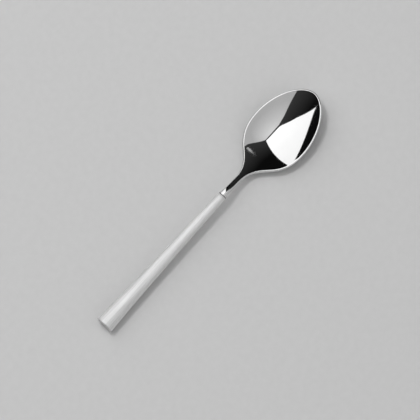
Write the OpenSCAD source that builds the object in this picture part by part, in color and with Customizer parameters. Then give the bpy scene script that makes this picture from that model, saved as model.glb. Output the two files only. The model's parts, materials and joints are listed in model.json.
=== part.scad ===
// Coffee spoon: a mirror-polished head whose tang is cemented into a satin hollow handle.
// Every piece is laid out along the handle's axis. There x runs from the joint towards the bowl,
// y across the spoon, and z up out of the bowl. The whole spoon is then tipped to lie on a table.

/* [Bowl] */
// Width of the bowl over its rim
bowl_w = 28.4; // [22:0.2:36]
// Depth of the hollow below the rim
bowl_depth = 5.3; // [4:0.1:8]
// Distance from the neck's narrowest place to the bowl's widest place
shoulder_l = 28.4; // [22:0.2:40]
// Distance from the bowl's widest place to its tip
nose_l = 23.4; // [18:0.2:32]
// How long the outline keeps to the neck's direction before it spreads
neck_pull = 13.6; // [8:0.1:16]
// How long the outline keeps to the bowl's direction behind the widest place
shoulder_pull = 17.5; // [10:0.1:20]
// How long the outline keeps to the bowl's direction in front of the widest place
side_pull = 12; // [8:0.1:15]
// Bluntness of the tip: how long the outline keeps straight across there
tip_pull = 7.0; // [4.5:0.1:12]
// Depth below the handle's axis at which the rim's line along the bowl starts
rim_drop = 4.3; // [2:0.1:5]
// Rise of the rim at the tip above the handle's axis
tip_rise = 0.4; // [-2:0.1:4]
// Softness of the rim's turn from the falling neck into the rising bowl
rim_turn = 0.35; // [0.1:0.05:1]
// Thickness of the bowl's wall, and so of its round rim
rim_t = 1.0; // [0.8:0.05:1.6]

/* [Neck] */
// Distance from the joint to the neck's narrowest place
neck_l = 9; // [7:0.1:16]
// Width of the neck
neck_w = 2.9; // [2.2:0.05:4]
// Thickness of the neck
neck_t = 2.7; // [1.8:0.05:3.4]
// Angle at which the neck falls away from the handle's axis
neck_fall = 11.5; // [6:0.5:16]
// Length over which the collar narrows to the neck's width
collar_l = 4.5; // [3:0.1:6]
// Length over which the round collar turns into the flat neck
flat_l = 6.8; // [4.5:0.1:6.9]

/* [Handle] */
// Length of the handle from the joint to the butt
handle_l = 77; // [65:0.5:110]
// Diameter of the handle at the joint
joint_d = 3.92; // [3.6:0.02:5]
// Control diameter of the handle's profile towards the joint
slim_d = 5.36; // [4:0.02:7]
// Control diameter of the handle's profile towards the butt
flare_d = 5.76; // [5:0.02:8]
// Diameter of the handle at the butt
butt_d = 8.2; // [6.5:0.1:11]
// Wall of the handle's two shells
wall_t = 0.6; // [0.4:0.05:0.8]
// Chamfer round the edge of the butt
butt_chamfer = 0.3; // [0.1:0.05:0.5]
// Thickness of the cap in the butt
cap_t = 1.5; // [0.8:0.1:4]
// Chamfer round the cap's outer edge, which draws a fine ring on the end
cap_chamfer = 0.15; // [0.05:0.05:0.4]

/* [Tang] */
// Length of the tang inside the handle
tang_l = 42; // [30:0.5:55]
// Diameter of the tang
tang_d = 1.9; // [1.4:0.05:2.2]
// Length of the tang that is rooted in the collar
tang_root = 1.5; // [0.5:0.1:2.5]
// Chamfer at the tang's free end
tang_chamfer = 0.3; // [0.1:0.05:0.6]
// Number of grooves that key the tang into the cement
groove_count = 4; // [1:1:6]
// Distance from the joint to the first groove
groove_start = 8; // [4:0.5:10]
// Distance from groove to groove
groove_pitch = 8; // [4:0.5:9]
// Width of a groove at its mouth
groove_w = 1.4; // [1:0.1:2]
// Depth of a groove
groove_depth = 0.2; // [0.1:0.05:0.3]

/* [Cement] */
// Width of the cement line between the collar and the handle's mouth
joint_gap = 0.28; // [0.05:0.01:0.4]
// How deep the cement line lies below the surface
line_recess = 0.06; // [0.02:0.01:0.2]
// Length of cement past the tang's free end
cement_cover = 3; // [1:0.5:6]
// Play between pieces that fit into each other
fit_gap = 0.02; // [0.01:0.01:0.05]

/* [Hidden] */
$fn = 96;

// How finely the head is divided: along each stretch, across half the bowl and round half the rim
COLLAR_STEPS = 12;
NECK_STEPS = 2;
SHOULDER_STEPS = 20;
NOSE_STEPS = 18;
ACROSS_STEPS = 8;
RIM_STEPS = 8;
// How finely the handle's profile is divided
PROFILE_STEPS = 24;

POLISHED = [0.86, 0.87, 0.88];
SATIN = [0.74, 0.74, 0.73];
CEMENT = [0.2, 0.2, 0.2];

rim_r = rim_t / 2;
neck_r = neck_w / 2;
joint_r = joint_d / 2;
tang_r = tang_d / 2;
wide_x = neck_l + shoulder_l;
tip_x = wide_x + nose_l;
bowl_r = bowl_w / 2;
// Radius of the hollow's curve from rim to rim, the same all along the bowl
cross_r = pow(bowl_r - rim_r, 2) / (2 * bowl_depth);
// Radius of the outline's curve right at the tip
tip_r = 1.5 * pow(tip_pull, 2) / (nose_l - side_pull);

function bezier(p, t) =
    pow(1 - t, 3) * p[0] + 3 * pow(1 - t, 2) * t * p[1] + 3 * (1 - t) * t * t * p[2] + pow(t, 3) * p[3];
function bezier_way(p, t) =
    pow(1 - t, 2) * (p[1] - p[0]) + 2 * (1 - t) * t * (p[2] - p[1]) + t * t * (p[3] - p[2]);
function unit(v) = v / norm(v);
function ease(u) = let (v = max(0, min(1, u))) v * v * (3 - 2 * v);
function mix(a, b, share) = a + (b - a) * share;

// Half of the head's outline from above, from the neck to the widest place and on to the tip
shoulder_curve = [
    [neck_l, neck_r],
    [neck_l + neck_pull, neck_r],
    [wide_x - shoulder_pull, bowl_r],
    [wide_x, bowl_r]
];
nose_curve = [
    [wide_x, bowl_r],
    [wide_x + side_pull, bowl_r],
    [tip_x, tip_pull],
    [tip_x, 0]
];

// A station is a place on the outline and the outline's outward direction there
function straight_station(x) = [[x, neck_r], [0, 1]];
function curve_station(curve, t) =
    let (way = unit(bezier_way(curve, t)))
    [bezier(curve, t), [-way[1], way[0]]];
stations = [
    for (i = [0 : COLLAR_STEPS]) straight_station(flat_l * i / COLLAR_STEPS),
    for (i = [1 : NECK_STEPS]) straight_station(mix(flat_l, neck_l, i / NECK_STEPS)),
    for (i = [1 : SHOULDER_STEPS]) curve_station(shoulder_curve, i / SHOULDER_STEPS),
    for (i = [1 : NOSE_STEPS - 1]) curve_station(nose_curve, i / NOSE_STEPS)
];
tip_station = [[tip_x, 0], [1, 0]];

// The rim's line from the side: it falls along the neck, turns softly and rises along the bowl to the tip
neck_grade = -tan(neck_fall);
function neck_line(x) = neck_grade * x;
function bowl_line(x) = mix(-rim_drop, tip_rise, pow(x / tip_x, 2));
function bowl_grade(x) = 2 * (tip_rise + rim_drop) * x / pow(tip_x, 2);
function turn(x) = norm([(neck_line(x) - bowl_line(x)) / 2, rim_turn]);
function edge_z(x) = (neck_line(x) + bowl_line(x)) / 2 + turn(x);
function edge_slope(x) =
    (neck_grade + bowl_grade(x)) / 2
        + (neck_line(x) - bowl_line(x)) * (neck_grade - bowl_grade(x)) / (4 * turn(x));

// The head is a bent sheet with round edges. Its middle surface ends half a wall inside the outline.
function edge_place(station) = station[0] - rim_r * station[1];
function half_t(x) = mix(rim_r, neck_t / 2, pow(max(0, wide_x - x) / shoulder_l, 2));
function middle_z(edge, y) = edge_z(edge[0]) - (pow(edge[1], 2) - y * y) / (2 * cross_r);
function fall(station) =
    station[1][1] > 0 ? edge_place(station)[1] / station[1][1] : tip_r - rim_r;
function sheet_up(station, y) =
    let (slope_x = edge_slope(edge_place(station)[0]) + fall(station) * station[1][0] / cross_r)
    unit([-slope_x, -y / cross_r, 1]);

// Points from the hollow over the rim to the underside, on one half. They start half a step beside the
// middle, so that a flat facet lies across it and the spoon doesn't rock on an edge.
function face_point(station, share, side) =
    let (edge = edge_place(station), y = edge[1] * share)
    [edge[0], y, middle_z(edge, y)] + side * half_t(edge[0]) * sheet_up(station, y);
function rim_point(station, angle) =
    let (
        edge = edge_place(station),
        up = sheet_up(station, edge[1]),
        out = [station[1][0], station[1][1], 0],
        along = unit(out - (out * up) * up)
    )
    [edge[0], edge[1], middle_z(edge, edge[1])]
        + rim_r * cos(angle) * along + half_t(edge[0]) * sin(angle) * up;
function across_share(j) = (j + 0.5) / (ACROSS_STEPS + 0.5);
function sheet_half(station) = [
    for (j = [0 : ACROSS_STEPS]) face_point(station, across_share(j), 1),
    for (k = [1 : RIM_STEPS - 1]) rim_point(station, 90 - 180 * k / RIM_STEPS),
    for (j = [ACROSS_STEPS : -1 : 0]) face_point(station, across_share(j), -1)
];
HALF = 2 * ACROSS_STEPS + RIM_STEPS + 1;
RING = 2 * HALF;

// The collar starts round at the joint, narrows and turns into the flat neck. On its top and underside
// the round's points lie about as far across as the neck's, so that the flat keeps a clear edge.
function round_half(x) =
    let (
        r = mix(joint_r, neck_r, sin(90 * min(1, x / collar_l))),
        top = [for (j = [0 : ACROSS_STEPS]) acos((neck_r - rim_r) * across_share(j) / r)],
        angles = [
            each top,
            for (k = [1 : RIM_STEPS - 1]) top[ACROSS_STEPS] * (1 - 2 * k / RIM_STEPS),
            for (j = [ACROSS_STEPS : -1 : 0]) -top[j]
        ]
    )
    [for (angle = angles) [x, r * cos(angle), joint_r * sin(angle)]];
function half_ring(station) =
    let (x = station[0][0])
    x < flat_l ? mix(round_half(x), sheet_half(station), ease(x / flat_l)) : sheet_half(station);
function full_ring(half) = [
    each half,
    for (i = [HALF - 1 : -1 : 0]) let (p = half[i]) [p[0], -p[1], p[2]]
];
rings = [for (station = stations) full_ring(half_ring(station))];
tip_half = sheet_half(tip_station);
tip_points = [for (i = [ACROSS_STEPS : ACROSS_STEPS + RIM_STEPS]) tip_half[i]];

// Faces between neighbouring rings. At the tip the two halves of the rim run into one arc.
LAST = len(stations) - 1;
function tip_index(i) =
    let (on_half = min(i, RING - 1 - i))
    max(0, min(RIM_STEPS, on_half - ACROSS_STEPS));
function point_index(ring, i) =
    ring <= LAST ? ring * RING + i % RING : (LAST + 1) * RING + tip_index(i % RING);
function is_face(f) = f[0] != f[1] && f[1] != f[2] && f[2] != f[0];
head_faces = [
    [for (i = [0 : RING - 1]) RING - 1 - i],
    for (ring = [0 : LAST], i = [0 : RING - 1])
        let (
            a = point_index(ring, i),
            b = point_index(ring, i + 1),
            c = point_index(ring + 1, i + 1),
            d = point_index(ring + 1, i)
        )
        each [for (f = [[a, b, c], [a, c, d]]) if (is_face(f)) f]
];

// Radius of the handle's outside and of its bore at a place x along the axis
handle_curve = [joint_r, slim_d / 2, flare_d / 2, butt_d / 2];
function handle_r(x) = bezier(handle_curve, -x / handle_l);
function bore_r(x) = handle_r(x) - wall_t;
function profile_x(from, to) = [for (i = [0 : PROFILE_STEPS]) mix(from, to, i / PROFILE_STEPS)];
cement_end = -tang_l - cement_cover;

// The spoon rests on the butt's lower edge and on the underside of the bowl
butt_edge = [butt_chamfer - handle_l, -handle_r(butt_chamfer - handle_l)];
underside = [for (ring = rings) [ring[HALF - 1][0], ring[HALF - 1][2]]];
rest_tilt = min([for (p = underside) atan2(p[1] - butt_edge[1], p[0] - butt_edge[0])]);
function lying_x(x, z) = (x - butt_edge[0]) * cos(rest_tilt) + (z - butt_edge[1]) * sin(rest_tilt);
butt_face_r = butt_d / 2 - butt_chamfer;
butt_end_x = min(lying_x(-handle_l, butt_face_r), lying_x(-handle_l, -butt_face_r));
tip_end_x = max([for (p = tip_points) lying_x(p[0], p[2])]);

// Tips the spoon onto the table, with the origin under the middle of its length
module on_table() {
    translate([-(butt_end_x + tip_end_x) / 2, 0, 0])
        rotate([0, rest_tilt, 0])
            translate([-butt_edge[0], 0, -butt_edge[1]])
                children();
}

// Turns a profile of [radius, x] points round the handle's axis
module turned(points) {
    rotate([0, 90, 0])
        rotate_extrude()
            polygon(points);
}

module half_turned(points, start) {
    rotate([0, 90, 0])
        rotate([0, 0, start])
            rotate_extrude(angle = 180)
                polygon(points);
}

// The tang with its keying grooves, grown by play all round for the hole that it fits
module tang(play) {
    r = tang_r + play;
    turned([
        [0, -tang_l - play],
        [r - tang_chamfer, -tang_l - play],
        [r, tang_chamfer - tang_l - play],
        for (i = [groove_count - 1 : -1 : 0])
            let (middle = -groove_start - i * groove_pitch)
            each [
                [r, middle - groove_w / 2],
                [r - groove_depth, middle - groove_w / 2 + groove_depth],
                [r - groove_depth, middle + groove_w / 2 - groove_depth],
                [r, middle + groove_w / 2]
            ],
        [r, tang_root],
        [0, tang_root]
    ]);
}

module handle_shell(start) {
    color(SATIN)
        on_table()
            half_turned([
                for (x = profile_x(-joint_gap, butt_chamfer - handle_l)) [handle_r(x), x],
                [butt_face_r, -handle_l],
                for (x = profile_x(-handle_l, -joint_gap)) [bore_r(x), x]
            ], start);
}

module spoon_head() {
    color(POLISHED)
        on_table() {
            polyhedron(points = [each for (ring = rings) ring, each tip_points], faces = head_faces);
            tang(0);
        }
}

module handle_upper_shell() {
    handle_shell(90);
}

module handle_lower_shell() {
    handle_shell(-90);
}

module butt_cap() {
    inner_x = cap_t - handle_l;
    color(SATIN)
        on_table()
            turned([
                [0, -handle_l],
                [bore_r(-handle_l) - fit_gap - cap_chamfer, -handle_l],
                [bore_r(cap_chamfer - handle_l) - fit_gap, cap_chamfer - handle_l],
                [bore_r(inner_x) - fit_gap, inner_x],
                [0, inner_x]
            ]);
}

module tang_cement() {
    line_r = joint_r - line_recess;
    color(CEMENT)
        on_table()
            difference() {
                turned([
                    [0, 0],
                    [line_r, 0],
                    [line_r, -joint_gap],
                    for (x = profile_x(-joint_gap, cement_end)) [bore_r(x) - fit_gap, x],
                    [0, cement_end]
                ]);
                tang(fit_gap);
            }
}

spoon_head();
handle_upper_shell();
handle_lower_shell();
butt_cap();
tang_cement();
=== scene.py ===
# %% [markdown]
# A coffee spoon with a hollow handle
#
# The spoon is made as real hollow-handle cutlery is: a polished head with a tang, two thin half shells that
# are welded into a round handle, a cap in the butt, and cement that holds the tang. The CAD solids fix
# every size and place. This script dresses them: it loads them as a fixed frame, models the visible pieces
# again with finer steps and softer edges, and gives each its metal.

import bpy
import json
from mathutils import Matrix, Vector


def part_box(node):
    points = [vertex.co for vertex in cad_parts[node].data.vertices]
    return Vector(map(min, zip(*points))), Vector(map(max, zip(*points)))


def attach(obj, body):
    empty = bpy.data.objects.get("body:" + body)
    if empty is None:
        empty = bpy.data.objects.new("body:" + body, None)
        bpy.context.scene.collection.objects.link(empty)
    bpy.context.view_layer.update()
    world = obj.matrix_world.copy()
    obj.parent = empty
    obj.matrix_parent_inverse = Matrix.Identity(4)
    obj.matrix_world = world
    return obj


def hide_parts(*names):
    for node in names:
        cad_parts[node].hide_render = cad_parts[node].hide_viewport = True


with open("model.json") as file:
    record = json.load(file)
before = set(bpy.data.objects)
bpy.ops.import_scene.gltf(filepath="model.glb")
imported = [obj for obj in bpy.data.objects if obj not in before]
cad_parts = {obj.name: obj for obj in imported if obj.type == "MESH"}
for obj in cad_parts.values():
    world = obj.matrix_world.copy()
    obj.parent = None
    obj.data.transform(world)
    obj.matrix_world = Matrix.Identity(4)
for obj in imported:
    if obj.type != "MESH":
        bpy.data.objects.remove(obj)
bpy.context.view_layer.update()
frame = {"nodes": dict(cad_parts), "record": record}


def rounded(values, digits):
    return [round(value, digits) for value in values]


# %% [markdown]
# One frame for every piece
#
# The spoon lies on a table, on the butt's lower edge and on its bowl, so the handle's axis is slightly
# tilted. A maker measures along the handle, and so does this script: x runs from the joint towards the
# bowl, y goes across and z up out of the bowl, all in millimetres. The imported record's mount gives the
# middle of the butt's end face and the direction that it faces. From these comes one matrix, which lays
# each finished mesh on the table, so that the objects themselves stay at the origin, unturned and unscaled.

# %% The handle's own frame
from mathutils import Matrix, Vector

MM = 0.001
HANDLE_L = 77

butt = frame["record"]["mounts"][0]
along = -Vector(butt["axis"]).normalized()
across = Vector((0, 1, 0))
upwards = along.cross(across)
joint = Vector(butt["pos_m"]) + HANDLE_L * MM * along
turn = Matrix((along, across, upwards)).transposed()
PLACE = Matrix.Translation(joint) @ turn.to_4x4() @ Matrix.Scale(MM, 4)
print("joint at", rounded(joint / MM, 3), "mm")

# %% [markdown]
# From a bmesh to a piece
#
# Every piece ends in the same way. Doubled vertices are merged, the faces are turned outwards, and they are
# shaded smooth except across real edges. Then the mesh is laid on the table. The piece rides on the spoon's
# one body, stands for its CAD solid and names the finish that it takes. The printed number says how far its
# box is from the solid's box. The floor and the lights become objects too, so that step has its own helper.

# %% Helpers that finish a piece
import bmesh
import bpy
from math import acos, asin, cos, degrees, hypot, pi, radians, sin, tan

SHARP = radians(35)
DOUBLES = 0.0005


def make_object(bm, name, finish):
    mesh = bpy.data.meshes.new(name)
    bm.to_mesh(mesh)
    bm.free()
    mesh.materials.append(finish)
    made = bpy.data.objects.new(name, mesh)
    bpy.context.scene.collection.objects.link(made)
    return made


def finish_piece(bm, name, node, finish):
    bmesh.ops.remove_doubles(bm, verts=bm.verts, dist=DOUBLES)
    bmesh.ops.recalc_face_normals(bm, faces=bm.faces)
    for face in bm.faces:
        face.smooth = True
    for edge in bm.edges:
        edge.smooth = edge.calc_face_angle(0) < SHARP
    bmesh.ops.transform(bm, matrix=PLACE, verts=bm.verts)
    open_edges = sum(not edge.is_manifold for edge in bm.edges)
    piece = make_object(bm, name, finish)
    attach(piece, "root")
    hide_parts(node)
    points = [vert.co for vert in piece.data.vertices]
    low = Vector(min(p[i] for p in points) for i in range(3))
    high = Vector(max(p[i] for p in points) for i in range(3))
    cad_low, cad_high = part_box(node)
    off = max(abs(d) for d in (*(low - cad_low), *(high - cad_high))) / MM
    print(f"{name}: {len(piece.data.polygons)} faces, {open_edges} open edges, box off by {off:.4f} mm")


print("edges that turn by", round(degrees(SHARP)), "degrees or more stay sharp")

# %% [markdown]
# Helpers for finishes
#
# Colours are written as the hex values that a screen shows. The shader works with linear light, so one
# function turns them. Another adds a node, sets its properties and fills its inputs with either a value or
# a link. Pattern sizes are given in millimetres: a noise at scale 1 repeats about once in a metre, so the
# scale is one over the size.

# %% Colour and node helpers


def linear(colour):
    shares = [int(colour[i : i + 2], 16) / 255 for i in (1, 3, 5)]
    return (*(s / 12.92 if s <= 0.04045 else ((s + 0.055) / 1.055) ** 2.4 for s in shares), 1)


def per_metre(size_mm):
    return 1 / (size_mm * MM)


def add_node(tree, kind, inputs, **settings):
    node = tree.nodes.new(kind)
    for name, value in settings.items():
        setattr(node, name, value)
    for name, value in inputs.items():
        if isinstance(value, bpy.types.NodeSocket):
            tree.links.new(value, node.inputs[name])
        else:
            node.inputs[name].default_value = value
    return node


def new_finish(name):
    finish = bpy.data.materials.new(name)
    finish.use_nodes = True
    finish.node_tree.nodes.clear()
    return finish, finish.node_tree


print("steel grey #C8C8C8 in linear light:", rounded(linear("#C8C8C8"), 3))

# %% [markdown]
# Mirror-polished stainless steel
#
# The head is stainless steel, buffed with finer and finer compounds until it mirrors the room. To the eye
# its colour is nearly all reflection. What gives it away as metal and not as a perfect mirror is a breath
# of haze that comes and goes over a few millimetres, and a slow waviness that bends straight reflections a
# little. At its true height the waviness wouldn't show, so it is drawn some five times as high as on a real
# spoon. Haze and waviness are noises on Object coordinates, which here are metres in the spoon's own frame.
# Nearly all of a noise lies between 0.3 and 0.7, so that range is spread over the roughness.

# %% The polished finish
HAZE_MM = 9
CLEAREST, HAZIEST = 0.035, 0.065
WAVE_MM = 8
WAVE_HEIGHT_MM = 0.010
NOISE_LOW, NOISE_HIGH = 0.3, 0.7

polished, tree = new_finish("mirror_polished_stainless_steel")
place = add_node(tree, "ShaderNodeTexCoord", {})
haze = add_node(tree, "ShaderNodeTexNoise", {
    "Vector": place.outputs["Object"], "Scale": per_metre(HAZE_MM), "Detail": 4.0, "Roughness": 0.6})
gloss = add_node(tree, "ShaderNodeMapRange", {
    "Value": haze.outputs["Fac"], "From Min": NOISE_LOW, "From Max": NOISE_HIGH,
    "To Min": CLEAREST, "To Max": HAZIEST})
tone = add_node(tree, "ShaderNodeMix", {
    0: haze.outputs["Fac"], 6: linear("#D2D2D2"), 7: linear("#DADADA")}, data_type="RGBA")
wave = add_node(tree, "ShaderNodeTexNoise", {
    "Vector": place.outputs["Object"], "Scale": per_metre(WAVE_MM), "Detail": 0.0})
ripple = add_node(tree, "ShaderNodeBump", {
    "Height": wave.outputs["Fac"], "Strength": 1.0, "Distance": WAVE_HEIGHT_MM * MM})
shader = add_node(tree, "ShaderNodeBsdfPrincipled", {
    "Base Color": tone.outputs[2], "Metallic": 1.0,
    "Roughness": gloss.outputs["Result"], "Normal": ripple.outputs["Normal"]})
add_node(tree, "ShaderNodeOutputMaterial", {"Surface": shader.outputs["BSDF"]})
print(polished.name, "with", len(tree.nodes), "nodes")

# %% [markdown]
# The head's outline from above
#
# From above, the head is a narrow straight neck that swells through long hollow shoulders into an
# egg-shaped bowl. A long list of points could trace it, but two Bezier curves of four points each draw one
# half of it and stay smooth: the shoulder from the neck to the widest place, and the nose from there to the
# tip. A station is a place on this outline and the direction that faces outwards there.

# %% Stations along the outline
NECK_L, NECK_W = 9, 2.9
SHOULDER_L, NOSE_L, BOWL_W = 28.4, 23.4, 28.4
NECK_PULL, SHOULDER_PULL, SIDE_PULL, TIP_PULL = 13.6, 17.5, 12, 7.0
FLAT_L = 6.8
COLLAR_STEPS, NECK_STEPS, SHOULDER_STEPS, NOSE_STEPS = 64, 12, 56, 52

neck_r = NECK_W / 2
bowl_r = BOWL_W / 2
wide_x = NECK_L + SHOULDER_L
tip_x = wide_x + NOSE_L
shoulder = [
    (NECK_L, neck_r), (NECK_L + NECK_PULL, neck_r), (wide_x - SHOULDER_PULL, bowl_r), (wide_x, bowl_r)]
nose = [(wide_x, bowl_r), (wide_x + SIDE_PULL, bowl_r), (tip_x, TIP_PULL), (tip_x, 0)]


def spread(start, end, steps):
    return [start + (end - start) * i / steps for i in range(steps + 1)]


def bezier(points, t):
    a, b, c, d = points
    return (1 - t) ** 3 * a + 3 * (1 - t) ** 2 * t * b + 3 * (1 - t) * t * t * c + t**3 * d


def curve_station(curve, t):
    a, b, c, d = points = [Vector(p) for p in curve]
    way = ((1 - t) ** 2 * (b - a) + 2 * (1 - t) * t * (c - b) + t * t * (d - c)).normalized()
    return bezier(points, t), Vector((-way.y, way.x))


neck_places = spread(0, FLAT_L, COLLAR_STEPS) + spread(FLAT_L, NECK_L, NECK_STEPS)[1:]
stations = [(Vector((x, neck_r)), Vector((0, 1))) for x in neck_places]
stations += [curve_station(shoulder, t) for t in spread(0, 1, SHOULDER_STEPS)[1:]]
stations += [curve_station(nose, t) for t in spread(0, 1, NOSE_STEPS)[1:]]
print(len(stations), "stations from the joint to the tip at", tip_x, "mm")

# %% [markdown]
# The head from the side
#
# From the side, the neck falls away from the handle's axis. Then the rim turns softly and rises along the
# bowl to the tip. One curve through all of this would be hard to steer, but a fall and a rise by themselves
# are simple. The larger of the two, rounded where they cross, gives the rim's height. The steel is thick in
# the neck, where the spoon is stressed most, and thins towards the bowl.

# %% Height and thickness along the head
RIM_DROP, TIP_RISE, RIM_TURN = 4.3, 0.4, 0.35
NECK_FALL = radians(11.5)
RIM_T, NECK_T = 1.0, 2.7

rim_r = RIM_T / 2


def rim_height(x):
    neck_line = -tan(NECK_FALL) * x
    bowl_line = -RIM_DROP + (TIP_RISE + RIM_DROP) * (x / tip_x) ** 2
    return (neck_line + bowl_line) / 2 + hypot((neck_line - bowl_line) / 2, RIM_TURN)


def rim_grade(x):
    step = 0.001
    return (rim_height(x + step) - rim_height(x - step)) / (2 * step)


def half_thickness(x):
    return rim_r + (NECK_T / 2 - rim_r) * (max(0, wide_x - x) / SHOULDER_L) ** 2


heights = [rim_height(x) for x in (NECK_L, wide_x, tip_x)]
print("rim height at neck, widest place and tip:", rounded(heights, 2))

# %% [markdown]
# A cross-section of the head
#
# A spoon is pressed from a flat blank, so its head is a bent sheet with round edges. Each cross-section
# starts in the middle of the hollow, runs out to the rim, round it, and back to the middle of the
# underside. The hollow's curve from rim to rim has one radius along the whole bowl, so the bowl gets
# shallower by itself where it narrows. The sheet's slope follows from how fast the outline draws in. At the
# very tip that is nought over nought, so its limit stands in, the outline's radius there. A Bezier curve
# ends with a radius of 1.5 times its last pull squared, over the gap that its first pull leaves to the end.

# %% Half of a section
BOWL_DEPTH = 5.3
ACROSS_STEPS, RIM_STEPS = 32, 24
TINY = 1e-6

cross_r = (bowl_r - rim_r) ** 2 / (2 * BOWL_DEPTH)
tip_r = 1.5 * TIP_PULL**2 / (NOSE_L - SIDE_PULL)


def sheet_spot(spot, out, share):
    edge = spot - rim_r * out
    y = share * edge.y
    z = rim_height(edge.x) - (edge.y**2 - y**2) / (2 * cross_r)
    draw_in = edge.y / out.y if out.y > TINY else tip_r - rim_r
    grade = rim_grade(edge.x) + draw_in * out.x / cross_r
    return Vector((edge.x, y, z)), Vector((-grade, -y / cross_r, 1)).normalized()


def sheet_half(spot, out):
    rows = [sheet_spot(spot, out, share) for share in spread(0, 1, ACROSS_STEPS)]
    upper = [middle + half_thickness(middle.x) * stand for middle, stand in rows]
    lower = [middle - half_thickness(middle.x) * stand for middle, stand in rows]
    middle, stand = rows[-1]
    outwards = out.to_3d()
    outwards = (outwards - outwards.dot(stand) * stand).normalized()
    rim = [
        middle + rim_r * cos(a) * outwards + half_thickness(middle.x) * sin(a) * stand
        for a in spread(pi / 2, -pi / 2, RIM_STEPS)[1:-1]
    ]
    return upper + rim + lower[::-1]


print("radius of the hollow's curve:", round(cross_r, 2), "mm")

# %% [markdown]
# The collar
#
# At the joint the head is as round as the handle. Over a few millimetres this round collar narrows and is
# ground flat on top, where a clear V-shaped edge forms between round and flat. A boolean could cut the
# flat, but would leave an uneven mesh, which a mirror finish shows. So each ring there is a blend of a
# circle's points and the sheet's points, and the share of the sheet grows smoothly. On top and underside the
# circle's points lie about as far across as the sheet's, so the flat keeps a clear edge on either side.

# %% A full ring of points for a station
JOINT_D = 3.92
COLLAR_L = 4.5

joint_r = JOINT_D / 2


def round_half(x):
    width = joint_r + (neck_r - joint_r) * sin(pi / 2 * min(1, x / COLLAR_L))
    top = [acos(share * (neck_r - rim_r) / width) for share in spread(0, 1, ACROSS_STEPS)]
    angles = top + spread(top[-1], -top[-1], RIM_STEPS)[1:-1] + [-a for a in top[::-1]]
    return [Vector((x, width * cos(a), joint_r * sin(a))) for a in angles]


def ease(share):
    return share * share * (3 - 2 * share)


def section_ring(spot, out):
    half = sheet_half(spot, out)
    if spot.x < FLAT_L:
        share = ease(spot.x / FLAT_L)
        half = [r.lerp(s, share) for r, s in zip(round_half(spot.x), half)]
    return half + [Vector((p.x, -p.y, p.z)) for p in half[-2:0:-1]]


print("points in a ring:", len(section_ring(*stations[0])))

# %% [markdown]
# Growing the head ring by ring
#
# A lathe can't make this shape, and a lattice would be hard to control. So the head grows like a drawn
# tube: a circle at the joint is extruded, and each new ring is laid on the next section. Every vertex keeps
# its number in the ring in a layer, and extrusion copies that number, so the new ring knows where each
# vertex belongs. At the tip the ring's two halves fall together into the arc of the rim, and merging
# doubles closes it.

# %% Extrude the neck and bowl
RING = 2 * (2 * ACROSS_STEPS + RIM_STEPS)

head = bmesh.new()
number = head.verts.layers.int.new("number")
first_ring = section_ring(*stations[0])
for i, vert in enumerate(bmesh.ops.create_circle(head, segments=RING, radius=joint_r)["verts"]):
    vert[number] = i
    vert.co = first_ring[i]
joint_edges = list(head.edges)


def next_ring(edges, points):
    made = bmesh.ops.extrude_edge_only(head, edges=edges)["geom"]
    for vert in made:
        if isinstance(vert, bmesh.types.BMVert):
            vert.co = points[vert[number]]
    return [edge for edge in made if isinstance(edge, bmesh.types.BMEdge) and edge.is_boundary]


last_edges = joint_edges
for station in stations[1:]:
    last_edges = next_ring(last_edges, section_ring(*station))
print("head has", len(head.faces), "faces up to the tip")

# %% [markdown]
# The tang
#
# Behind the collar a thin rod runs into the handle. Grooves are turned into it, because cement grips a
# groove and can't hold a smooth rod as well. It isn't seen, but it is part of the head, so it grows from
# the same first ring, the other way.

# %% Extrude the tang
TANG_L, TANG_D, TANG_CHAMFER = 42, 1.9, 0.3
GROOVES, GROOVE_START, GROOVE_PITCH, GROOVE_W, GROOVE_DEPTH = 4, 8, 8, 1.4, 0.2

tang_r = TANG_D / 2
tang_profile = [(0, tang_r)]
for i in range(GROOVES):
    middle = -GROOVE_START - i * GROOVE_PITCH
    mouth, floor_half = GROOVE_W / 2, GROOVE_W / 2 - GROOVE_DEPTH
    tang_profile += [(middle + mouth, tang_r), (middle + floor_half, tang_r - GROOVE_DEPTH)]
    tang_profile += [(middle - floor_half, tang_r - GROOVE_DEPTH), (middle - mouth, tang_r)]
tang_profile += [(TANG_CHAMFER - TANG_L, tang_r), (-TANG_L, tang_r - TANG_CHAMFER)]

last_edges = joint_edges
for x, r in tang_profile:
    turned_ring = [Vector((x, r * sin(a), r * cos(a))) for a in spread(0, 2 * pi, RING)]
    last_edges = next_ring(last_edges, turned_ring)
bmesh.ops.contextual_create(head, geom=last_edges)
print("tang of", TANG_L, "mm with", GROOVES, "grooves")

# %% [markdown]
# Soft edges at the joint
#
# No edge on a real spoon is perfectly sharp: buffing rounds it by some hundredths of a millimetre. A small
# bevel on the collar's back edge catches a thread of light beside the joint line. The handle's edges get
# the same round later, so the bevel is a helper.

# %% Round the collar's edge and finish the head
EDGE_ROUND, EDGE_STEPS = 0.05, 2


def soften(bm, edges, size, steps):
    bmesh.ops.bevel(
        bm, geom=edges, offset=size, segments=steps, profile=0.5, affect="EDGES", material=-1)


soften(head, joint_edges, EDGE_ROUND, EDGE_STEPS)
finish_piece(head, "polished_head", "spoon_head", polished)

# %% [markdown]
# Satin stainless steel
#
# The handle is brushed along its length with fine abrasive. The scratches, a few hundredths of a millimetre
# wide, scatter light across the handle, so each reflection smears into a broad soft band, like silk. The
# shader calls this anisotropy: its Tangent is the brushing direction, and a quarter turn lays the blur
# across it. Faint streaks in tone, gloss and height follow the brushing too. Streaks of true width can't
# show here, so they are drawn about twenty times as wide. A Mapping node turns the pattern into the
# handle's frame and stretches it along the axis. Streaks and soft clouds add up to the roughness.

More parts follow.
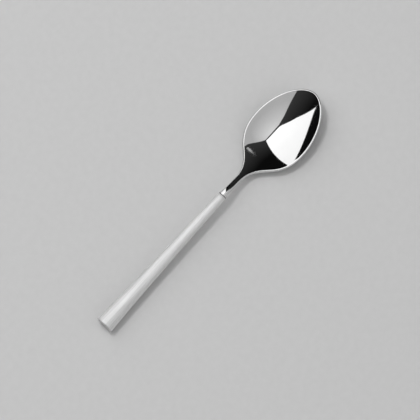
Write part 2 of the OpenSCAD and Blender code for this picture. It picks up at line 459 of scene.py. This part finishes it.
# %% The satin finish
STREAK_W_MM = 0.7
STREAK_L_MM = 40
STREAK_HEIGHT_MM = 0.002
CLOUD_MM = 12
SMOOTHEST, ROUGHEST = 0.50, 0.58
BRUSHED_BLUR, QUARTER_TURN = 0.62, 0.25

satin, tree = new_finish("brushed_satin_stainless_steel")
place = add_node(tree, "ShaderNodeTexCoord", {})
handle_tilt = asin(along.z)
streak = (STREAK_L_MM * MM, STREAK_W_MM * MM, STREAK_W_MM * MM)
brushed = add_node(tree, "ShaderNodeMapping", {
    "Vector": place.outputs["Object"], "Rotation": (0, -handle_tilt, 0),
    "Scale": streak}, vector_type="TEXTURE")
streaks = add_node(tree, "ShaderNodeTexNoise", {
    "Vector": brushed.outputs["Vector"], "Scale": 1.0, "Detail": 3.0, "Roughness": 0.6})
cloud = add_node(tree, "ShaderNodeTexNoise", {
    "Vector": place.outputs["Object"], "Scale": per_metre(CLOUD_MM), "Detail": 2.0})
both = add_node(tree, "ShaderNodeMath", {
    0: streaks.outputs["Fac"], 1: cloud.outputs["Fac"]}, operation="ADD")
gloss = add_node(tree, "ShaderNodeMapRange", {
    "Value": both.outputs["Value"], "From Min": 2 * NOISE_LOW, "From Max": 2 * NOISE_HIGH,
    "To Min": SMOOTHEST, "To Max": ROUGHEST})
tone = add_node(tree, "ShaderNodeMix", {
    0: streaks.outputs["Fac"], 6: linear("#C2C2C2"), 7: linear("#FEFEFE")}, data_type="RGBA")
grain = add_node(tree, "ShaderNodeBump", {
    "Height": streaks.outputs["Fac"], "Strength": 1.0, "Distance": STREAK_HEIGHT_MM * MM})
brush_way = add_node(tree, "ShaderNodeCombineXYZ", {"X": along.x, "Z": along.z})
shader = add_node(tree, "ShaderNodeBsdfPrincipled", {
    "Base Color": tone.outputs[2], "Metallic": 1.0,
    "Roughness": gloss.outputs["Result"], "Normal": grain.outputs["Normal"],
    "Anisotropic": BRUSHED_BLUR, "Anisotropic Rotation": QUARTER_TURN,
    "Tangent": brush_way.outputs["Vector"]})
add_node(tree, "ShaderNodeOutputMaterial", {"Surface": shader.outputs["BSDF"]})
print(satin.name, "with", len(tree.nodes), "nodes")

# %% [markdown]
# The handle's wall
#
# A hollow handle is pressed from thin sheet, so its wall is equally thick all the way. Its outline flares
# gently from the joint to the butt, which one Bezier curve of radii gives, and the bore follows one wall
# further in. The profile runs from the mouth along the outside to the butt, over a small chamfer, and back
# along the bore.

# %% Profile of the wall
SLIM_D, FLARE_D, BUTT_D = 5.36, 5.76, 8.2
WALL_T, BUTT_CHAMFER, JOINT_GAP = 0.6, 0.3, 0.28
PROFILE_STEPS = 48


def handle_r(x):
    return bezier([joint_r, SLIM_D / 2, FLARE_D / 2, BUTT_D / 2], -x / HANDLE_L)


def bore_r(x):
    return handle_r(x) - WALL_T


wall = [(x, handle_r(x)) for x in spread(-JOINT_GAP, BUTT_CHAMFER - HANDLE_L, PROFILE_STEPS)]
wall.append((-HANDLE_L, BUTT_D / 2 - BUTT_CHAMFER))
wall += [(x, bore_r(x)) for x in spread(-HANDLE_L, -JOINT_GAP, PROFILE_STEPS)]
print("wall profile of", len(wall), "points, butt", BUTT_D, "mm across")

# %% [markdown]
# The two half shells
#
# The handle is pressed as two half tubes and welded along its sides, and the weld is ground away. A full
# tube could be cut in two, but half a turn of the profile about the handle's axis makes each shell by
# itself, and only the two long welded faces are left to fill. The spin copies each vertex's number, so the
# edges that three corners of the profile draw, at the mouth and on both sides of the chamfer, are found
# again and rounded.

# %% Spin the shells
HALF_TURN_STEPS = 96
MOUTH, EDGE, FACE = 0, PROFILE_STEPS, PROFILE_STEPS + 1


def half_shell(side, name, node):
    shell = bmesh.new()
    corner = shell.verts.layers.int.new("corner")
    verts = [shell.verts.new((x, side * r, 0)) for x, r in wall]
    for i in (MOUTH, EDGE, FACE):
        verts[i][corner] = i + 1
    edges = [shell.edges.new((verts[i - 1], verts[i])) for i in range(len(verts))]
    bmesh.ops.spin(shell, geom=verts + edges, axis=(1, 0, 0), angle=pi, steps=HALF_TURN_STEPS)
    worn = [e for e in shell.edges if e.verts[0][corner] and e.verts[0][corner] == e.verts[1][corner]]
    soften(shell, worn, EDGE_ROUND, EDGE_STEPS)
    bmesh.ops.edgeloop_fill(shell, edges=[e for e in shell.edges if e.is_boundary])
    finish_piece(shell, name, node, satin)


half_shell(1, "satin_upper_half", "handle_upper_shell")
half_shell(-1, "satin_lower_half", "handle_lower_shell")

# %% [markdown]
# Lathe-turned stainless steel
#
# The cap in the butt is turned on a lathe. Its face keeps the fine rings of the tool, which throw a soft fan
# of light. They are drawn about four times as coarse as on the real cap. Rings could be modelled, but they
# are far too fine for a mesh, so a Wave texture makes them. At scale 1 it draws 10 / pi rings per unit. Its
# Mapping node brings the handle's axis to the texture's middle.

# %% The turned finish
RING_PITCH_MM = 0.25
RING_HEIGHT_MM = 0.002
RINGS_PER_UNIT = 10 / pi
RIDGE_ROUGHNESS, GROOVE_ROUGHNESS = 0.36, 0.26

turned, tree = new_finish("lathe_turned_stainless_steel")
place = add_node(tree, "ShaderNodeTexCoord", {})
lying = Matrix.Rotation(handle_tilt, 3, "Y")
centred = add_node(tree, "ShaderNodeMapping", {
    "Vector": place.outputs["Object"], "Rotation": (0, handle_tilt, 0), "Location": -(lying @ joint)})
rings = add_node(tree, "ShaderNodeTexWave", {
    "Vector": centred.outputs["Vector"], "Scale": per_metre(RING_PITCH_MM) / RINGS_PER_UNIT,
    "Distortion": 0.6, "Detail": 1.0}, wave_type="RINGS", rings_direction="X")
gloss = add_node(tree, "ShaderNodeMapRange", {
    "Value": rings.outputs["Fac"], "To Min": GROOVE_ROUGHNESS, "To Max": RIDGE_ROUGHNESS})
tone = add_node(tree, "ShaderNodeMix", {
    0: rings.outputs["Fac"], 6: linear("#BDBDBD"), 7: linear("#CACACA")}, data_type="RGBA")
tool_marks = add_node(tree, "ShaderNodeBump", {
    "Height": rings.outputs["Fac"], "Strength": 1.0, "Distance": RING_HEIGHT_MM * MM})
shader = add_node(tree, "ShaderNodeBsdfPrincipled", {
    "Base Color": tone.outputs[2], "Metallic": 1.0,
    "Roughness": gloss.outputs["Result"], "Normal": tool_marks.outputs["Normal"]})
add_node(tree, "ShaderNodeOutputMaterial", {"Surface": shader.outputs["BSDF"]})
print(turned.name, "with rings every", RING_PITCH_MM, "mm")

# %% [markdown]
# The butt cap
#
# A disc closes the flared end, pressed in flush and welded. Its rim follows the bore, which widens towards
# the butt, so a slightly tapered cone is the right blank. Only its outer face shows, and the edge of that
# face is rounded.

# %% Turn the cap
CAP_T, CAP_CHAMFER, FIT_GAP = 1.5, 0.15, 0.02
CAP_SIDES, CAP_EDGE_STEPS = 128, 3

cap = bmesh.new()
middle_x = -HANDLE_L + CAP_T / 2
lathe = Matrix.Translation((middle_x, 0, 0)) @ Matrix.Rotation(pi / 2, 4, "Y")
bmesh.ops.create_cone(
    cap, cap_ends=True, segments=CAP_SIDES, depth=CAP_T, matrix=lathe,
    radius1=bore_r(-HANDLE_L) - FIT_GAP, radius2=bore_r(CAP_T - HANDLE_L) - FIT_GAP)
face_edges = [e for e in cap.edges if all(v.co.x < middle_x for v in e.verts)]
soften(cap, face_edges, CAP_CHAMFER, CAP_EDGE_STEPS)
finish_piece(cap, "turned_butt_cap", "butt_cap", turned)

# %% [markdown]
# The cement
#
# A dark filled resin holds the tang. All that shows of it is a hairline between collar and handle. The CAD
# solid already has that shape, so it stays, and only gets a better finish: dull, with pale grains of
# filler.

# %% The cement's finish
GRAIN_MM = 0.2
RESIN_ROUGHNESS, FILLER_ROUGHNESS = 0.6, 0.8

cement, tree = new_finish("filled_resin_cement")
place = add_node(tree, "ShaderNodeTexCoord", {})
filler = add_node(tree, "ShaderNodeTexNoise", {
    "Vector": place.outputs["Object"], "Scale": per_metre(GRAIN_MM), "Detail": 3.0})
tone = add_node(tree, "ShaderNodeMix", {
    0: filler.outputs["Fac"], 6: linear("#242322"), 7: linear("#403E3C")}, data_type="RGBA")
gloss = add_node(tree, "ShaderNodeMapRange", {
    "Value": filler.outputs["Fac"], "To Min": RESIN_ROUGHNESS, "To Max": FILLER_ROUGHNESS})
shader = add_node(tree, "ShaderNodeBsdfPrincipled", {
    "Base Color": tone.outputs[2], "Roughness": gloss.outputs["Result"]})
add_node(tree, "ShaderNodeOutputMaterial", {"Surface": shader.outputs["BSDF"]})
frame["nodes"]["tang_cement"].material_slots[0].material = cement
print(cement.name, "on the CAD solid tang_cement")

# %% [markdown]
# The floor
#
# The spoon lies on a wide sheet of pale paper. It is matt, with fibres that make it very slightly cloudy. A
# round sheet keeps its edge equally far away on every side.

# %% Lay the paper
FLOOR_R, FLOOR_SIDES = 6, 64
FIBRE_MM = 3
PAPER_ROUGHNESS, PAPER_SHINE = 0.9, 0.1

paper, tree = new_finish("pale_matt_paper")
place = add_node(tree, "ShaderNodeTexCoord", {})
fibres = add_node(tree, "ShaderNodeTexNoise", {
    "Vector": place.outputs["Object"], "Scale": per_metre(FIBRE_MM), "Detail": 5.0})
tone = add_node(tree, "ShaderNodeMix", {
    0: fibres.outputs["Fac"], 6: linear("#C8C8C8"), 7: linear("#CFCFCF")}, data_type="RGBA")
shader = add_node(tree, "ShaderNodeBsdfPrincipled", {
    "Base Color": tone.outputs[2], "Roughness": PAPER_ROUGHNESS, "Specular IOR Level": PAPER_SHINE})
add_node(tree, "ShaderNodeOutputMaterial", {"Surface": shader.outputs["BSDF"]})

sheet = bmesh.new()
bmesh.ops.create_circle(sheet, cap_ends=True, segments=FLOOR_SIDES, radius=FLOOR_R)
floor = make_object(sheet, "paper_floor", paper)
print("paper floor of radius", FLOOR_R, "m")

# %% [markdown]
# A tent of light
#
# Polished metal shows its surroundings, so the light is made of shapes: two large soft cloths lean together
# like a tent over the spoon. A bright white one is mirrored in one half of the bowl and along the handle,
# and a dimmer grey one in the other half. The dark gap between them and around them draws the bowl's form.
# A small slit of light beyond the tip adds one short streak beside the neck. Each is a flat sheet, given by
# its height over the bowl, its slope in y and its corners from above, in shares of the tent's height. As on
# a real softbox, a cloth glows most near one spot at the top of the tent and fades to its dim strength over
# its reach. The cloths are meshes, so they are hidden from the camera.

# %% Hang the cloths
BOWL_MIDDLE = Vector((0.046, 0, 0.005))
TENT_HEIGHT = 3
HOT_SPOT = (0, -0.25, 1)

cloths = {
    "white_cloth": {
        "bright": 1.65, "dim": 1.35, "reach": 1.2, "height": 0.85, "slope": -0.95,
        "corners": [
            (0.32, -0.22), (-0.25, -0.19), (-0.31, -0.13), (-0.47, 0.17), (-0.53, 0.42),
            (0.15, 0.76), (0.30, 0.78)]},
    "grey_cloth": {
        "bright": 1.0, "dim": 0.58, "reach": 0.75, "height": 1.29, "slope": 1.13,
        "corners": [(0.31, -0.26), (-0.27, -0.26), (-0.48, -0.34), (-1.53, -1.10), (1.75, -1.10)]},
    "light_slit": {
        "bright": 0.7, "dim": 0.7, "reach": 1, "height": 0.6, "slope": 0,
        "corners": [
            (0.90, -0.51), (0.83, -0.33), (0.81, -0.23), (0.80, -0.12), (0.80, -0.01),
            (0.84, -0.01), (0.94, -0.51)]},
}


def in_tent(x, y, z):
    return BOWL_MIDDLE + TENT_HEIGHT * Vector((x, y, z))


def hang_cloth(name, bright, dim, reach, height, slope, corners):
    light, tree = new_finish(name)
    place = add_node(tree, "ShaderNodeTexCoord", {})
    away = add_node(tree, "ShaderNodeVectorMath", {
        0: place.outputs["Object"], 1: in_tent(*HOT_SPOT)}, operation="DISTANCE")
    strength = add_node(tree, "ShaderNodeMapRange", {
        "Value": away.outputs["Value"], "From Max": reach * TENT_HEIGHT, "To Min": bright, "To Max": dim})
    glow = add_node(tree, "ShaderNodeEmission", {"Strength": strength.outputs["Result"]})
    add_node(tree, "ShaderNodeOutputMaterial", {"Surface": glow.outputs["Emission"]})
    cloth = bmesh.new()
    verts = [cloth.verts.new(in_tent(x, y, height + slope * y)) for x, y in corners]
    bmesh.ops.contextual_create(cloth, geom=verts)
    hung = make_object(cloth, name, light)
    hung.visible_camera = False
    print(name, "with strength", bright, "near the hot spot")


for name, cut in cloths.items():
    hang_cloth(name, **cut)

# %% [markdown]
# A lamp for the paper
#
# The cloths alone would leave the paper dull. So a small softbox hangs below them, a little to one side. It
# lights the paper and lays a soft shadow along the other side of the handle. The metal doesn't show it,
# because it is hidden from glossy rays.

# %% Hang the lamp
LAMP_WATTS, LAMP_SIZE = 8, 0.3
LAMP_PLACE = (0, 0.6, 1.6)

lamp = bpy.data.lights.new("paper_lamp", "AREA")
lamp.energy = LAMP_WATTS
lamp.size = LAMP_SIZE
lamp_object = bpy.data.objects.new("paper_lamp", lamp)
lamp_object.location = LAMP_PLACE
lamp_object.visible_glossy = False
lamp_object.visible_camera = False
bpy.context.scene.collection.objects.link(lamp_object)
print("paper lamp of", LAMP_WATTS, "W at", LAMP_PLACE)

# %% [markdown]
# The room
#
# The room round the tent is dim. It is a little lighter behind the grey cloth, which a dot product of the
# view direction and that side gives, so the dark reflections aren't one flat black.

# %% A dim room
LIGHTER_SIDE = (0, -1, 0.4)
DARK_FROM, LIGHT_FROM = -0.15, 0.65
DARK_STRENGTH, LIGHT_STRENGTH = 0.005, 0.045

room = bpy.data.worlds.new("dim_room")
room.use_nodes = True
tree = room.node_tree
tree.nodes.clear()
sight = add_node(tree, "ShaderNodeTexCoord", {})
side = add_node(tree, "ShaderNodeVectorMath", {
    0: sight.outputs["Generated"], 1: LIGHTER_SIDE}, operation="DOT_PRODUCT")
strength = add_node(tree, "ShaderNodeMapRange", {
    "Value": side.outputs["Value"], "From Min": DARK_FROM, "From Max": LIGHT_FROM,
    "To Min": DARK_STRENGTH, "To Max": LIGHT_STRENGTH})
backdrop = add_node(tree, "ShaderNodeBackground", {
    "Color": linear("#FFFFFF"), "Strength": strength.outputs["Result"]})
add_node(tree, "ShaderNodeOutputWorld", {"Surface": backdrop.outputs["Background"]})
bpy.context.scene.world = room
bpy.context.scene.view_settings.view_transform = "Standard"
print(room.name, "of strength", DARK_STRENGTH, "to", LIGHT_STRENGTH)

# %% [markdown]
# The camera
#
# The view is almost straight down, with a long lens from two metres away, so that the spoon hardly tapers
# with distance. The handle runs from the lower left to the upper right.

# %% Set the camera
AZIMUTH, ELEVATION = radians(-48.0), radians(78)
AIM = Vector((0, 0, 5)) * MM
LENS_MM = 400
DISTANCE = 2.0371

back = Vector((sin(AZIMUTH) * cos(ELEVATION), -cos(AZIMUTH) * cos(ELEVATION), sin(ELEVATION)))
lens = bpy.data.cameras.new("camera")
lens.lens = LENS_MM
camera = bpy.data.objects.new("camera", lens)
camera.location = AIM + DISTANCE * back
camera.rotation_euler = back.to_track_quat("Z", "Y").to_euler()
bpy.context.scene.collection.objects.link(camera)
bpy.context.scene.camera = camera
print("camera at", rounded(camera.location, 3))

# %% [markdown]
# The last cell
#
# It only loads the json module.

# %% Load the json module
import json
